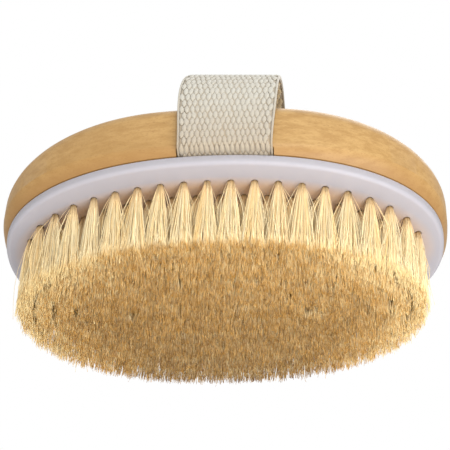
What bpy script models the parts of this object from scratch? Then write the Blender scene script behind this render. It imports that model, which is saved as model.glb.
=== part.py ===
"""Body dry brush: a domed wooden back, a wire-drawn bristle plate and a webbing hand strap.

Metres, +Z up. X runs along the brush, Y across it, and the bristle tips lie on z = 0 with the
middle of the bristle field over the origin.
"""

import functools
import math

import bmesh
import bpy
from mathutils import Vector

# ---------------------------------------------------------------- driving dimensions
CLEARANCE = 0.0003  # gap between two pieces that touch

PLATE_LENGTH = 0.130
PLATE_WIDTH = 0.073
PLATE_THICKNESS = 0.0032
PLATE_EDGE_ROUND = 0.0008
PLATE_POWER = 2.17  # superellipse power of the plate's outline, 2 is a plain ellipse

BRISTLE_LENGTH = 0.026  # plate face to bristle tips
TUFT_PITCH = 0.0068  # along a ring
RING_COUNT = 5  # closed rings, outside the straight middle row
RING_PITCH_SHARE = 0.103  # from ring to ring at the ends, as part of the outer ring's half length
RING_POWER = 2.15
RING_INSET_LONG = 0.00675  # plate edge to the outer ring, at the ends
RING_INSET_WIDE = 0.0078  # plate edge to the outer ring, at the long sides
OUTER_RING_START = 0.0040  # first tuft of the outer ring, past the middle of the front
ROW_LEAST_DEPTH = 0.0007  # half the depth of the thinnest tuft worth setting in the middle row
TUFT_FOLD_RADIUS = 0.00075  # the folded bundle behind the plate
TUFT_SIDES = 6
TIP_MERGE = 0.00025  # how far the spread tips of two neighbours run into each other
TIP_RING_GAP = 0.0006  # gap left between the spread tips of two rings
TIP_GATHER = Vector((0.986, 0.974))  # the tips stand this much closer to the middle
DRAW_WIRE_DIAMETER = 0.0005

WOOD_THICKNESS = 0.0230
WOOD_BULGE = 0.0013  # how far the side stands out past the plate
WOOD_CHAMFER = 0.0032  # height of the slope from the plate up to the bulge
WOOD_SHOULDER = 0.0075
WOOD_END_DROP = 0.0075  # the top falls this much from the middle to the ends
WOOD_POWER = 2.45
WOOD_FLAT_LENGTH = 0.036  # flat top in the middle, before the ends fall away
POCKET_DEPTH = 0.0014  # relief over the tuft folds and the draw wires
POCKET_MARGIN = 0.0019

STRAP_WIDTH = 0.0272
STRAP_THICKNESS = 0.0016
STRAP_CENTRE = 0.0027  # the strap sits this far off the middle of the brush
STRAP_SWELL = 0.0009  # how far each edge stands out half way up, free of the wood
STRAP_LEAN = 0.0022  # the crown leans this far towards +X
STRAP_TUCK = 0.0055  # length clamped between the plate and the wood
STRAP_HAND_ROOM = 0.0268  # from the wood's flat top to the inside of the strap
STRAP_SIDE_GAP = 0.0004
STRAP_ARCH_POWER = 2.3
STRAP_FOLD_RADIUS = 0.0003  # inside radius where the strap turns up the side
STRAP_RECESS_RUNOUT = 0.0011

STAPLE_CROWN = 0.0100
STAPLE_LEG = 0.0070
STAPLE_WIRE_WIDTH = 0.0012
STAPLE_WIRE_THICKNESS = 0.0006
STAPLE_SPACING = 0.0130  # middle to middle, across the strap

OUTLINE_POINTS = 72

# ---------------------------------------------------------------- levels and derived sizes
PLATE_FACE = BRISTLE_LENGTH
PLATE_BACK = PLATE_FACE + PLATE_THICKNESS
WOOD_BASE = PLATE_BACK + CLEARANCE
WOOD_TOP = WOOD_BASE + WOOD_THICKNESS

HALF_LENGTH = PLATE_LENGTH / 2
HALF_WIDTH = PLATE_WIDTH / 2
OUTER_RING = Vector((HALF_LENGTH - RING_INSET_LONG, HALF_WIDTH - RING_INSET_WIDE))
RING_PITCH_LONG = OUTER_RING.x * RING_PITCH_SHARE
RING_PITCH_WIDE = OUTER_RING.y / RING_COUNT
RING_STEP = Vector((RING_PITCH_LONG, RING_PITCH_WIDE))
TUFT_FOLD_TOP = PLATE_BACK - CLEARANCE
FACE_FRACTION = PLATE_FACE / TUFT_FOLD_TOP  # 0 at the tips, 1 at the fold
TIP_HALF_DEPTH = (min(RING_PITCH_LONG, RING_PITCH_WIDE) * min(TIP_GATHER) - TIP_RING_GAP) / 2

RECESS_TOP = WOOD_BASE + STRAP_THICKNESS + CLEARANCE
STRAP_MIDDLE_OUT = HALF_WIDTH + WOOD_BULGE + STRAP_SIDE_GAP + STRAP_THICKNESS / 2
STRAP_MIDDLE_LOW = WOOD_BASE + STRAP_THICKNESS / 2
STRAP_MIDDLE_TOP = WOOD_TOP + STRAP_HAND_ROOM + STRAP_THICKNESS / 2
STAPLE_LINE = HALF_WIDTH - STRAP_TUCK / 2


# ---------------------------------------------------------------- helpers
def clear_scene():
    for old in list(bpy.data.objects):
        bpy.data.objects.remove(old, do_unlink=True)


def make_material(name, colour, roughness, metallic=0.0):
    material = bpy.data.materials.new(name)
    material.use_nodes = True
    shader = material.node_tree.nodes["Principled BSDF"]
    shader.inputs["Base Color"].default_value = (*colour, 1.0)
    shader.inputs["Roughness"].default_value = roughness
    shader.inputs["Metallic"].default_value = metallic
    material.diffuse_color = (*colour, 1.0)
    return material


def add_object(name, bm, material, root, smooth_angle=math.radians(35)):
    """Turn a bmesh into a named object under the root empty."""
    bmesh.ops.recalc_face_normals(bm, faces=bm.faces)
    mesh = bpy.data.meshes.new(name)
    bm.to_mesh(mesh)
    bm.free()
    mesh.materials.append(material)
    mesh.shade_smooth()
    mesh.set_sharp_from_angle(angle=smooth_angle)
    piece = bpy.data.objects.new(name, mesh)
    bpy.context.scene.collection.objects.link(piece)
    piece.parent = root
    return piece


def add_cutter(name, bm, root):
    """A hidden tool body for a Boolean."""
    bmesh.ops.recalc_face_normals(bm, faces=bm.faces)
    mesh = bpy.data.meshes.new(name)
    bm.to_mesh(mesh)
    bm.free()
    cutter = bpy.data.objects.new(name, mesh)
    bpy.context.scene.collection.objects.link(cutter)
    cutter.parent = root
    cutter.hide_render = True
    cutter.display_type = "WIRE"
    return cutter


def boolean(piece, tool, operation):
    modifier = piece.modifiers.new(tool.name, "BOOLEAN")
    modifier.operation = operation
    modifier.solver = "EXACT"
    modifier.object = tool


def superellipse_point(half, power, angle):
    """Point of a superellipse at a parameter angle, counted from +X."""
    cosine = math.cos(angle)
    sine = math.sin(angle)
    x = half[0] * math.copysign(abs(cosine) ** (2 / power), cosine)
    y = half[1] * math.copysign(abs(sine) ** (2 / power), sine)
    return Vector((x, y))


def superellipse(half, power, count=OUTLINE_POINTS):
    return [superellipse_point(half, power, math.tau * i / count) for i in range(count)]


def loft(bm, loops):
    """Skin a stack of loops of equal length and close both ends."""
    rows = [[bm.verts.new(point) for point in loop] for loop in loops]
    count = len(rows[0])
    for lower, upper in zip(rows, rows[1:]):
        for i in range(count):
            j = (i + 1) % count
            bm.faces.new((lower[i], lower[j], upper[j], upper[i]))
    bm.faces.new(rows[0][::-1])
    bm.faces.new(rows[-1])


def add_box(bm, low, high):
    corners = []
    for z in (low[2], high[2]):
        rectangle = ((low[0], low[1]), (high[0], low[1]), (high[0], high[1]), (low[0], high[1]))
        corners.append([Vector((x, y, z)) for x, y in rectangle])
    loft(bm, corners)


def even_stations(half, power, spacing, start):
    """Evenly spaced (point, tangent) pairs round a superellipse, an even number of them.

    The walk begins at the middle of the front (-Y) side, heads for +X, and the first station
    lies `start` further on.
    """
    steps = 1440
    path = [superellipse_point(half, power, math.tau * i / steps - math.pi / 2) for i in range(steps + 1)]
    reach = [0.0]
    for a, b in zip(path, path[1:]):
        reach.append(reach[-1] + (b - a).length)
    count = 2 * round(reach[-1] / spacing / 2)
    stations = []
    i = 0
    for k in range(count):
        target = start + reach[-1] * k / count
        while reach[i + 1] < target:
            i += 1
        share = (target - reach[i]) / (reach[i + 1] - reach[i])
        point = path[i].lerp(path[i + 1], share)
        tangent = (path[i + 1] - path[i]).normalized()
        stations.append((point, tangent))
    return stations


# ---------------------------------------------------------------- where the tufts stand
def gathered(point):
    return Vector((point.x * TIP_GATHER.x, point.y * TIP_GATHER.y))


def section(centre, tangent, half_along, half_across, z):
    """Cross-section of a tuft, with a flat side towards each neighbour in its ring."""
    normal = Vector((-tangent.y, tangent.x))
    flat = math.cos(math.pi / TUFT_SIDES)
    loop = []
    for i in range(TUFT_SIDES):
        angle = math.tau * (i + 0.5) / TUFT_SIDES
        along = tangent * (half_along / flat * math.cos(angle))
        across = normal * (half_across * math.sin(angle))
        loop.append((*(centre + along + across), z))
    return loop


def tip_half_width(stations):
    """Half the spread of a tip along its ring, enough to run into both neighbours."""
    gaps = [(gathered(b[0]) - gathered(a[0])).length for a, b in zip(stations, stations[1:])]
    return max(gaps, default=TUFT_PITCH) / 2 + TIP_MERGE


def tip_outline(stations):
    """Points along the outlines of a ring's spread tips."""
    half_width = tip_half_width(stations)
    points = []
    for point, tangent, half_depth in stations:
        loop = section(gathered(point), tangent, half_width, half_depth, 0.0)
        corners = [Vector(corner[:2]) for corner in loop]
        for a, b in zip(corners, corners[1:] + corners[:1]):
            points += [a.lerp(b, step / 10) for step in range(10)]
    return points


def depth_within(point, tangent, outline):
    """Half the depth of a tip that stays clear of another ring's tips all along its width."""
    normal = Vector((-tangent.y, tangent.x))
    reach = TUFT_PITCH / 2 + TIP_MERGE + TIP_RING_GAP
    offsets = [other - gathered(point) for other in outline]
    near = [abs(offset.dot(normal)) for offset in offsets if abs(offset.dot(tangent)) < reach]
    return min(TIP_HALF_DEPTH, min(near, default=0.0) - TIP_RING_GAP)


@functools.cache
def ring_stations(index):
    """Tufts of one closed ring as (point, tangent, half depth), index 0 is the outer one.

    The inner ring's tufts have the full depth. The others give way where the next ring in
    comes close, at its tight ends.
    """
    half = OUTER_RING - RING_STEP * index
    stagger = TUFT_PITCH / 2 * (index % 2)
    start = OUTER_RING_START - stagger
    places = even_stations(half, RING_POWER, TUFT_PITCH, start)
    if index == RING_COUNT - 1:
        return [(*place, TIP_HALF_DEPTH) for place in places]
    inner = tip_outline(ring_stations(index + 1))
    return [(*place, depth_within(*place, inner)) for place in places]


@functools.cache
def row_stations():
    """Tufts of the straight middle row, each as deep as the inner ring leaves room for."""
    inner = tip_outline(ring_stations(RING_COUNT - 1))
    last = int((OUTER_RING.x - RING_STEP.x * (RING_COUNT - 1)) / TUFT_PITCH)
    stations = []
    for k in range(-last, last + 1):
        place = (Vector((TUFT_PITCH * k, 0.0)), Vector((1.0, 0.0)))
        half_depth = depth_within(*place, inner)
        if half_depth > ROW_LEAST_DEPTH:
            stations.append((*place, half_depth))
    return stations


def add_tuft(bm, station, half_width):
    point, tangent, half_depth = station
    tip = section(gathered(point), tangent, half_width, half_depth, 0.0)
    fold = section(point, tangent, TUFT_FOLD_RADIUS, TUFT_FOLD_RADIUS, TUFT_FOLD_TOP)
    loft(bm, [tip, fold])


def hole_radius():
    """Clears the widest tuft where it leaves the plate's face, with the tuft's lean."""
    widest = max(tip_half_width(ring_stations(k)) for k in range(RING_COUNT))
    at_face = widest + (TUFT_FOLD_RADIUS - widest) * FACE_FRACTION
    lean = (OUTER_RING - gathered(OUTER_RING)).length * (1 - FACE_FRACTION)
    return at_face + lean + CLEARANCE


# ---------------------------------------------------------------- wooden back
def top_fall(x):
    """How far the top lies below its middle at x."""
    flat = WOOD_FLAT_LENGTH / 2
    run = HALF_LENGTH + WOOD_BULGE - flat
    return WOOD_END_DROP * (max(0.0, abs(x) - flat) / run) ** 2


def wood_outline(outset, blend):
    """Outline that stands `outset` past the plate, from the plate's shape to the wood's own."""
    power = PLATE_POWER + (WOOD_POWER - PLATE_POWER) * blend
    return superellipse((HALF_LENGTH + outset, HALF_WIDTH + outset), power)


def wood_loops():
    loops = [[(*p, WOOD_BASE) for p in wood_outline(0.0, 0.0)]]
    for share in (0.55, 1.0):
        outset = WOOD_BULGE * math.sin(share * math.pi / 2)
        height = WOOD_BASE + WOOD_CHAMFER * share
        loops.append([(*p, height) for p in wood_outline(outset, share)])
    for degrees in (0, 18, 36, 54, 72, 90):
        turn = math.radians(degrees)
        inset = WOOD_SHOULDER * (1 - math.cos(turn))
        below = WOOD_SHOULDER * (1 - math.sin(turn))
        outline = wood_outline(WOOD_BULGE - inset, 1.0)
        loops.append([(*p, WOOD_TOP - top_fall(p.x) - below) for p in outline])
    rim = Vector((HALF_LENGTH, HALF_WIDTH)) - Vector((WOOD_SHOULDER, WOOD_SHOULDER))
    for share in (0.72, 0.45):
        outline = superellipse(rim * share, WOOD_POWER)
        loops.append([(*p, WOOD_TOP - top_fall(p.x)) for p in outline])
    middle = superellipse((WOOD_FLAT_LENGTH * 0.45, rim.y * 0.3), 2.0)
    loops.append([(*p, WOOD_TOP) for p in middle])
    return loops


def pocket_cutter(root):
    """Relief in the wood's underside over the whole bristle field."""
    half = OUTER_RING + Vector((POCKET_MARGIN, POCKET_MARGIN))
    outline = superellipse(half, RING_POWER, 48)
    bm = bmesh.new()
    levels = (WOOD_BASE - POCKET_DEPTH, WOOD_BASE + POCKET_DEPTH)
    loft(bm, [[(*p, z) for p in outline] for z in levels])
    return add_cutter("cut_pocket", bm, root)


def strap_recess_cutter(root):
    """Two channels in the underside for the strap ends."""
    bm = bmesh.new()
    reach = STRAP_WIDTH / 2 + CLEARANCE
    inner = HALF_WIDTH - STRAP_TUCK - STRAP_RECESS_RUNOUT
    outer = HALF_WIDTH + WOOD_BULGE * 3
    for side in (-1, 1):
        y_low, y_high = sorted((side * inner, side * outer))
        low = (STRAP_CENTRE - reach, y_low, WOOD_BASE - STRAP_THICKNESS)
        high = (STRAP_CENTRE + reach, y_high, RECESS_TOP)
        add_box(bm, low, high)
    return add_cutter("cut_strap_recess", bm, root)


def staple_places():
    """Name, middle x and side of each strap staple."""
    places = []
    for end, side in (("front", -1), ("rear", 1)):
        for hand, way in (("left", -1), ("right", 1)):
            x = STRAP_CENTRE + way * STAPLE_SPACING / 2
            places.append((f"staple_{end}_{hand}", x, side * STAPLE_LINE))
    return places


def build_wood_back(material, root):
    bm = bmesh.new()
    loft(bm, wood_loops())
    back = add_object("wood_back", bm, material, root)
    boolean(back, pocket_cutter(root), "DIFFERENCE")
    boolean(back, strap_recess_cutter(root), "DIFFERENCE")
    return back


# ---------------------------------------------------------------- bristle plate
def plate_loops():
    """The rim is rounded towards the bristles and eased where it meets the wood."""
    profile = [(PLATE_EDGE_ROUND / 4, PLATE_BACK), (0.0, PLATE_BACK - PLATE_EDGE_ROUND / 4)]
    for degrees in (0, 30, 60, 90):
        turn = math.radians(degrees)
        inset = PLATE_EDGE_ROUND * (1 - math.cos(turn))
        rise = PLATE_EDGE_ROUND * (1 - math.sin(turn))
        profile.append((inset, PLATE_FACE + rise))
    loops = []
    for inset, z in profile:
        half = (HALF_LENGTH - inset, HALF_WIDTH - inset)
        loops.append([(*p, z) for p in superellipse(half, PLATE_POWER)])
    return loops


def tuft_hole_cutter(root):
    bm = bmesh.new()
    radius = hole_radius()
    stations = list(row_stations())
    for index in range(RING_COUNT):
        stations += ring_stations(index)
    overrun = PLATE_THICKNESS / 2
    for point, tangent, _ in stations:
        low = section(point, tangent, radius, radius, PLATE_FACE - overrun)
        high = section(point, tangent, radius, radius, PLATE_BACK + overrun)
        loft(bm, [low, high])
    return add_cutter("cut_tuft_holes", bm, root)


def build_bristle_plate(material, root):
    bm = bmesh.new()
    loft(bm, plate_loops())
    plate = add_object("bristle_plate", bm, material, root)
    boolean(plate, tuft_hole_cutter(root), "DIFFERENCE")
    return plate


# ---------------------------------------------------------------- bristles and draw wires
def sets_apart(stations, distance):
    """Share the tufts out into sets, with no two of a set nearer than the distance."""
    sets = []
    for station in stations:
        for group in sets:
            if all((station[0] - other[0]).length > distance for other in group):
                group.append(station)
                break
        else:
            sets.append([station])
    return sets


def build_tufts(name, stations, material, root):
    """Fuse tufts whose spread tips meet, one set of separate tufts at a time."""
    half_width = tip_half_width(stations)
    bodies = []
    for group in sets_apart(stations, 3 * half_width):
        bm = bmesh.new()
        for station in group:
            add_tuft(bm, station, half_width)
        bodies.append(bm)
    piece = add_object(name, bodies[0], material, root, math.radians(80))
    for number, body in enumerate(bodies[1:], 1):
        boolean(piece, add_cutter(f"join_{name}_{number}", body, root), "UNION")
    return piece


def build_draw_wire(name, stations, material, root):
    """One wire lies on the plate's back and passes over the fold of each tuft in turn."""
    curve = bpy.data.curves.new(name, "CURVE")
    curve.dimensions = "3D"
    curve.bevel_depth = DRAW_WIRE_DIAMETER / 2
    curve.bevel_resolution = 0
    curve.use_fill_caps = True
    spline = curve.splines.new("POLY")
    spline.points.add(len(stations) - 1)
    level = PLATE_BACK + CLEARANCE + DRAW_WIRE_DIAMETER / 2
    for knot, station in zip(spline.points, stations):
        knot.co = (*station[0], level, 1.0)
    curve.materials.append(material)
    wire = bpy.data.objects.new(name, curve)
    bpy.context.scene.collection.objects.link(wire)
    wire.parent = root
    return wire


def build_bristle_field(bristle, steel, root):
    for index in range(RING_COUNT):
        stations = ring_stations(index)
        build_tufts(f"tuft_ring_{index + 1}", stations, bristle, root)
        build_draw_wire(f"draw_wire_{index + 1}", stations, steel, root)
    row = row_stations()
    build_tufts("tuft_row_middle", row, bristle, root)
    build_draw_wire("draw_wire_middle", row, steel, root)


# ---------------------------------------------------------------- hand strap
def strap_path():
    """Middle line of the strap in the YZ plane, from the front tuck to the rear tuck."""
    fold = STRAP_FOLD_RADIUS + STRAP_THICKNESS / 2
    leg_top = WOOD_TOP - WOOD_SHOULDER / 4
    half = [Vector((HALF_WIDTH - STRAP_TUCK, STRAP_MIDDLE_LOW))]
    centre = Vector((STRAP_MIDDLE_OUT - fold, STRAP_MIDDLE_LOW + fold))
    for degrees in (-90, -60, -30, 0):
        turn = math.radians(degrees)
        half.append(centre + fold * Vector((math.cos(turn), math.sin(turn))))
    rise = STRAP_MIDDLE_TOP - leg_top
    arch = []
    for i in range(15):
        turn = math.radians(90) * i / 14
        arch.append(superellipse_point((STRAP_MIDDLE_OUT, rise), STRAP_ARCH_POWER, turn))
    half += [Vector((y, leg_top + z)) for y, z in arch]
    front = [Vector((-p.x, p.y)) for p in half]
    return front + half[-2::-1]


def offset_path(path, distance):
    """The path moved sideways, to the left of its direction."""
    moved = []
    for i, point in enumerate(path):
        before = path[max(i - 1, 0)]
        after = path[min(i + 1, len(path) - 1)]
        into = (point - before).normalized() if i else (after - point).normalized()
        out = (after - point).normalized() if i < len(path) - 1 else into
        normal = Vector((-into.y - out.y, into.x + out.x)).normalized()
        square = Vector((-out.y, out.x))
        moved.append(point + normal * (distance / normal.dot(square)))
    return moved


def staple_profile(grow):
    """Outline of a staple in its own plane, legs up, with chisel points."""
    crown = STAPLE_CROWN / 2 + grow
    inside = STAPLE_CROWN / 2 - STAPLE_WIRE_THICKNESS - grow
    floor = -grow
    seat = STAPLE_WIRE_THICKNESS + grow
    point = STAPLE_LEG + grow
    shorter = point - STAPLE_WIRE_THICKNESS
    right = [(crown, floor), (crown, shorter), (inside, point), (inside, seat)]
    return right + [(-x, z) for x, z in right[::-1]]


def add_staple(bm, x, y, grow):
    loops = []
    for side in (-1, 1):
        depth = y + side * (STAPLE_WIRE_WIDTH / 2 + grow)
        loops.append([(x + u, depth, WOOD_BASE + w) for u, w in staple_profile(grow)])
    loft(bm, loops)


def staple_bite_cutter(root):
    """The staples sink into the strap, with room all round."""
    bm = bmesh.new()
    for _, x, y in staple_places():
        add_staple(bm, x, y, CLEARANCE)
    return add_cutter("cut_staples", bm, root)


def strap_edge(side, z):
    """Where an edge of the strap runs at a height, side is -1 or 1."""
    lift = (z - WOOD_BASE) / (STRAP_MIDDLE_TOP + STRAP_THICKNESS / 2 - WOOD_BASE)
    swell = STRAP_SWELL * math.sin(math.pi * lift) ** 2
    return STRAP_CENTRE + side * (STRAP_WIDTH / 2 + swell) + STRAP_LEAN * lift**4


def build_strap(material, root):
    path = strap_path()
    outline = offset_path(path, STRAP_THICKNESS / 2) + offset_path(path, -STRAP_THICKNESS / 2)[::-1]
    count = len(path)
    bm = bmesh.new()
    sides = []
    for side in (-1, 1):
        sides.append([bm.verts.new((strap_edge(side, p.y), p.x, p.y)) for p in outline])
    for i in range(len(outline)):
        j = (i + 1) % len(outline)
        bm.faces.new((sides[0][i], sides[0][j], sides[1][j], sides[1][i]))
    for edge in sides:
        for i in range(count - 1):
            far = len(outline) - 1 - i
            bm.faces.new((edge[i], edge[i + 1], edge[far - 1], edge[far]))
    return add_object("hand_strap", bm, material, root)


def build_staples(material, root):
    for name, x, y in staple_places():
        bm = bmesh.new()
        add_staple(bm, x, y, 0.0)
        add_object(name, bm, material, root)


# ---------------------------------------------------------------- whole brush
def main():
    clear_scene()
    root = bpy.data.objects.new("body_dry_brush", None)
    bpy.context.scene.collection.objects.link(root)

    wood = make_material("oiled_wood", (0.60, 0.38, 0.17), 0.45)
    plastic = make_material("milky_plastic", (0.62, 0.60, 0.66), 0.35)
    cotton = make_material("cotton_webbing", (0.74, 0.70, 0.60), 0.9)
    bristle = make_material("sisal_bristle", (0.72, 0.55, 0.28), 0.7)
    steel = make_material("steel_wire", (0.56, 0.57, 0.58), 0.35, 1.0)

    back = build_wood_back(wood, root)
    build_bristle_plate(plastic, root)
    strap = build_strap(cotton, root)
    build_staples(steel, root)
    bites = staple_bite_cutter(root)
    boolean(back, bites, "DIFFERENCE")
    boolean(strap, bites, "DIFFERENCE")
    build_bristle_field(bristle, steel, root)


main()
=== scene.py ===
"""Body dry brush: finished wood, milky plate, natural bristles and cotton webbing."""

import math

import bmesh
import bpy
import numpy as np
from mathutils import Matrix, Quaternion, Vector


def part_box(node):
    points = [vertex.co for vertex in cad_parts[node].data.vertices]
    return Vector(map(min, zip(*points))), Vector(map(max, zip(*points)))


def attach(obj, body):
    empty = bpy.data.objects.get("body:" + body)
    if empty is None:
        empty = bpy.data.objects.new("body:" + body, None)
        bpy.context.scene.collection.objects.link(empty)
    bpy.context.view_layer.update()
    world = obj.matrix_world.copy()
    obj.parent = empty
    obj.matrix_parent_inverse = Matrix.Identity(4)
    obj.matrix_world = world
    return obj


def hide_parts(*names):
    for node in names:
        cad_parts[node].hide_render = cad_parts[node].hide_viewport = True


bl_info = {
    "name": "Body Dry Brush",
    "version": (1, 0, 0),
    "blender": (4, 5, 0),
    "location": "3D View > Sidebar > Brush",
    "description": "Makes the finished pieces of an oval body brush round its working model",
    "category": "Object",
}

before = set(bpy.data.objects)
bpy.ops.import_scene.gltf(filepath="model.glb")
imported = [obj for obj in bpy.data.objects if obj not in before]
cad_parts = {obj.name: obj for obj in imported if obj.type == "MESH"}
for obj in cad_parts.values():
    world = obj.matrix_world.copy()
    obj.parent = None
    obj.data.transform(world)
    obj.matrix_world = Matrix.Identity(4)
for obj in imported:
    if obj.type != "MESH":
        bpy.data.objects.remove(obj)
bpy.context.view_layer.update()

BODY = "root"
RING_COUNT = 5
PLATE_LOW, PLATE_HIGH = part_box("bristle_plate")
WOOD_LOW, WOOD_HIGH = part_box("wood_back")
STRAP_LOW, STRAP_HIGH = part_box("hand_strap")
PLATE_HALF = Vector(((PLATE_HIGH.x - PLATE_LOW.x) / 2, (PLATE_HIGH.y - PLATE_LOW.y) / 2))
STEEL_NODES = [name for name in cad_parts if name.startswith(("staple_", "draw_wire_"))]

CLEARANCE = 0.0003  # gap between two pieces that touch
CUT_PAST = 0.001  # how far a cutter stands out of a body
OUTLINE_POINTS = 180  # round the back and the plate
RING_SAMPLES = 1441  # points that measure the way round a ring
ROW_REACH = 0.855  # the row's tufts thin to nothing at this part of the inner ring
ROW_TAPER = 1.8  # power of that thinning


# ---------------------------------------------------------------- sizes and colours
def length(name, description, default):
    return bpy.props.FloatProperty(
        name=name, description=description, default=default, unit="LENGTH", precision=5
    )


def number(name, description, default):
    return bpy.props.FloatProperty(name=name, description=description, default=default)


def rotation(name, description, degrees):
    return bpy.props.FloatProperty(
        name=name, description=description, default=math.radians(degrees), subtype="ANGLE"
    )


def colour(name, description, default):
    return bpy.props.FloatVectorProperty(
        name=name, description=description, default=default, subtype="COLOR", size=3, min=0, max=1
    )


class BackSettings(bpy.types.PropertyGroup):
    chamfer: length("Chamfer", "Height of the slope from the plate up to the side", 0.0032)
    shoulder: length("Shoulder", "Radius between the side and the top", 0.0075)
    end_drop: length("End drop", "How far the top falls towards the ends", 0.0075)
    flat: length("Flat", "Length of the level part of the top", 0.036)
    pocket: length("Pocket", "Depth of the relief over the tuft folds", 0.0014)
    power: number("Outline power", "Squareness of the outline, 2 is an ellipse", 2.45)
    seat_power: number("Seat power", "Squareness of the outline at the plate", 2.17)
    pale: colour("Pale wood", "Early wood", (0.51, 0.315, 0.115))
    honey: colour("Honey wood", "Late wood", (0.36, 0.200, 0.058))
    fleck: colour("Fleck", "Small dark pores and rays", (0.26, 0.125, 0.035))
    # painted shade: the edge colour darkens the lower chamfer next to the plate
    edge: colour("Edge wood", "End grain along the lower edge", (0.33, 0.165, 0.048))


class PlateSettings(bpy.types.PropertyGroup):
    rim: length("Rim", "Radius of the plate's rim", 0.0014)
    hole: length("Hole", "Radius of a tuft hole", 0.00105)
    milky: colour("Milky plastic", "The plate where nothing lies behind it", (0.465, 0.445, 0.480))
    cloud: colour("Cloud", "Darker clouds in the milky plastic", (0.42, 0.395, 0.43))
    # painted shade on the plate's side, next to the wood
    shaded_side: colour("Backed plastic", "The plate's side, close to the wood", (0.34, 0.325, 0.345))
    # partly the bristle folds seen through the plastic, partly painted shade and warm bounce between
    # the tufts
    folds_and_shade: colour("Warm plastic", "The plate where bristle folds show through", (0.70, 0.49, 0.33))


class TuftSettings(bpy.types.PropertyGroup):
    pitch: length("Pitch", "From tuft to tuft along a ring", 0.0068)
    ring_step: number("Ring step", "From ring to ring at the ends, as part of the outer ring", 0.103)
    inset_long: length("End inset", "Plate edge to the outer ring at the ends", 0.00675)
    inset_wide: length("Side inset", "Plate edge to the outer ring at the sides", 0.0078)
    start: length("First tuft", "First tuft of the outer ring past the middle", 0.0040)
    power: number("Ring power", "Squareness of the rings", 2.15)
    root: length("Root", "Radius of a tuft where it leaves the plate", 0.00078)
    spread_along: length("Spread along", "Half the width of the tips along the ring", 0.0036)
    spread_across: length("Spread across", "Half the width of the tips across the ring", 0.0027)
    thickness: length("Bristle", "Radius of a bristle near its root", 0.000090)
    per_tuft: bpy.props.IntProperty(
        name="Bristles", description="Bristles in one tuft", default=240, min=1
    )
    locks: bpy.props.IntProperty(
        name="Locks", description="Small locks the bristles of a tuft lean into", default=40, min=1
    )
    strays: number("Strays", "Part of the bristles that stand astray", 0.09)
    ragged: length("Ragged", "How uneven the tips are", 0.0005)
    end_trim: length("End trim", "How much shorter the bristles at the ends are", 0.0016)
    cream: colour("Cream", "Pale bristle shaft", (1.0, 0.88, 0.58))
    # painted warm bounce: the shaft near the hole is warmer where shade falls between the tufts
    fold: colour("Fold", "Shaft near the hole", (1.0, 0.72, 0.38))
    straw: colour("Straw", "Warmer bristle shaft", (0.95, 0.66, 0.27))
    # tan is the cut ends' golden colour, darkened with painted shade of the gaps between bristles;
    # umber is painted shade in those gaps
    tan: colour("Tan", "Cut bristle tip", (0.64, 0.325, 0.050))
    umber: colour("Umber", "Darker cut tips", (0.20, 0.084, 0.012))
    pale_tip: colour("Pale tip", "Cut tip of the outer bristles", (1.0, 0.80, 0.42))
    dark: colour("Dark", "The few dark bristles", (0.17, 0.080, 0.026))


class StrapSettings(bpy.types.PropertyGroup):
    thickness: length("Thickness", "Webbing, over the weave on both faces", 0.0016)
    tuck: length("Tuck", "Length held between plate and wood", 0.0055)
    fold: length("Fold", "Inside radius where the strap turns up", 0.0003)
    power: number("Arch power", "Squareness of the strap's arch", 2.3)
    column: length("Column", "Spacing of the weave across the strap", 0.00145)
    row: length("Row", "Spacing of the weave along the strap", 0.0027)
    selvedge: length("Selvedge", "Width of the plain edge", 0.0006)
    width: length("Width", "Between the edges where the wood holds it", 0.0272)
    centre: length("Centre", "Off the middle of the brush", 0.0027)
    swell: length("Swell", "How far each edge stands out half way up", 0.0009)
    pinch: length("Pinch", "How far each edge draws in over the crown", 0.0022)
    sag: length("Sag", "How far the crown settles", 0.0013)
    lean: length("Lean", "How far the crown leans along the brush", 0.0043)
    tilt: number("Tilt", "Slope of the crown across the strap", 0.10)
    cotton: colour("Cotton", "Natural cotton yarn", (0.49, 0.47, 0.405))
    # painted shade: yarn between the raised floats is darkened where shade falls
    shade: colour("Yarn shade", "Yarn between the raised floats", (0.40, 0.345, 0.26))
    # painted shade and warm bounce on the inner face of the loop
    inner: colour("Inner face", "Cotton on the side of the hand", (0.60, 0.50, 0.30))
    aged: colour("Aged", "The browner of the raised yarns", (0.44, 0.39, 0.31))
    speck: colour("Speck", "Bits of husk in the cotton", (0.20, 0.15, 0.10))
    # painted shade and warm bounce on the cotton where it meets the plate
    foot_shade: colour("Foot", "Tint of the cotton where it meets the plate", (0.86, 0.76, 0.66))


class StageSettings(bpy.types.PropertyGroup):
    azimuth: rotation("Azimuth", "Camera round the brush", 5.73)
    elevation: rotation("Elevation", "Camera above the horizon", -44.75)
    roll: rotation("Roll", "Camera about its own axis", 2.48)
    distance: length("Distance", "Camera to the middle of the plate", 0.52)
    lens: bpy.props.FloatProperty(
        name="Lens", description="Focal length in millimetres", default=140.4, subtype="DISTANCE_CAMERA"
    )
    floor: colour("Floor", "Colour of the floor", (0.80, 0.80, 0.79))


# ---------------------------------------------------------------- modelling helpers
def superellipse_at(half, power, angle):
    """Points of a superellipse at parameter angles, counted from +X."""
    cosine, sine = np.cos(angle), np.sin(angle)
    x = half[0] * np.sign(cosine) * np.abs(cosine) ** (2 / power)
    y = half[1] * np.sign(sine) * np.abs(sine) ** (2 / power)
    return np.stack([x, y], axis=1)


def superellipse(half, power, count=OUTLINE_POINTS):
    """A closed outline with its points at even parameter angles."""
    return superellipse_at(half, power, np.linspace(0.0, math.tau, count, endpoint=False))


def with_height(outline, height):
    """An outline lifted to one height, or each point to its own."""
    z = np.broadcast_to(height, (len(outline),))
    return np.column_stack([outline, z])


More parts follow.
